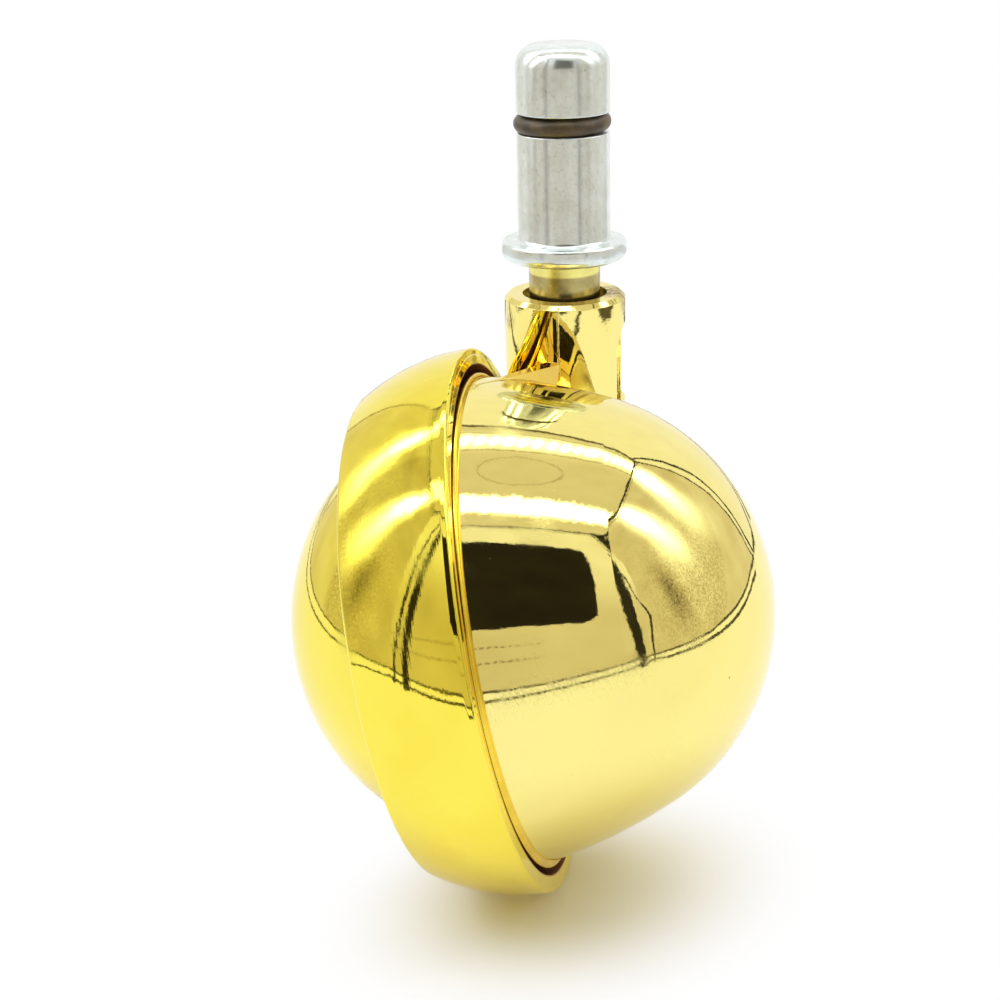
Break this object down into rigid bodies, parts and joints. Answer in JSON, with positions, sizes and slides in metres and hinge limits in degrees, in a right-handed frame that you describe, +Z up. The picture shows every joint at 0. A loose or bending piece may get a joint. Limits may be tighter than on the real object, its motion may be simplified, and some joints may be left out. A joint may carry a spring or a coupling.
{
  "type": "ball castor",
  "caption": "Furniture castor with a plain grip stem, a swivelling domed housing and a leaning hemispherical wheel with a polished rolling band.",
  "frame": {"origin": "on the swivel axis at the top face of the stem's collar, where the castor meets the underside of the furniture", "axes": "+Z up the stem; -Y from the swivel axis towards the ball; +X towards the housing side of the ball"},
  "size_m": [0.0537, 0.0608, 0.0908],
  "materials": {
    "plated_steel": "bright plated, softly mottled",
    "spring_steel": "oiled steel",
    "grip_rubber": "dark brown, glossy",
    "bush_plastic": "natural plastic",
    "housing_gold": "mirror polished brass plating",
    "wheel_gold": "mirror polished brass plating",
    "tread_gold": "brass plating over fine turning marks"
  },
  "bodies": {
    "stem_base": {"stem": "plated_steel", "grip_ring": "grip_rubber", "stem_snap_ring": "spring_steel"},
    "swivel_housing": {"housing": "housing_gold", "neck_bush": "bush_plastic", "thrust_ball": "spring_steel", "axle": "plated_steel", "thrust_washer": "bush_plastic", "axle_snap_ring": "spring_steel"},
    "ball_wheel": {"wheel_core": "wheel_gold", "tread_ring": "tread_gold", "wheel_bush": "bush_plastic"}
  },
  "joints": [
    {"name": "swivel", "type": "hinge", "parent": "stem_base", "child": "swivel_housing", "pos_m": [0, 0, 0], "axis": [0, 0, 1], "continuous": true},
    {"name": "wheel_spin", "type": "hinge", "parent": "swivel_housing", "child": "ball_wheel", "pos_m": [0, -0.021, -0.03765], "axis": [0.9816, 0, 0.1908], "continuous": true}
  ]
}
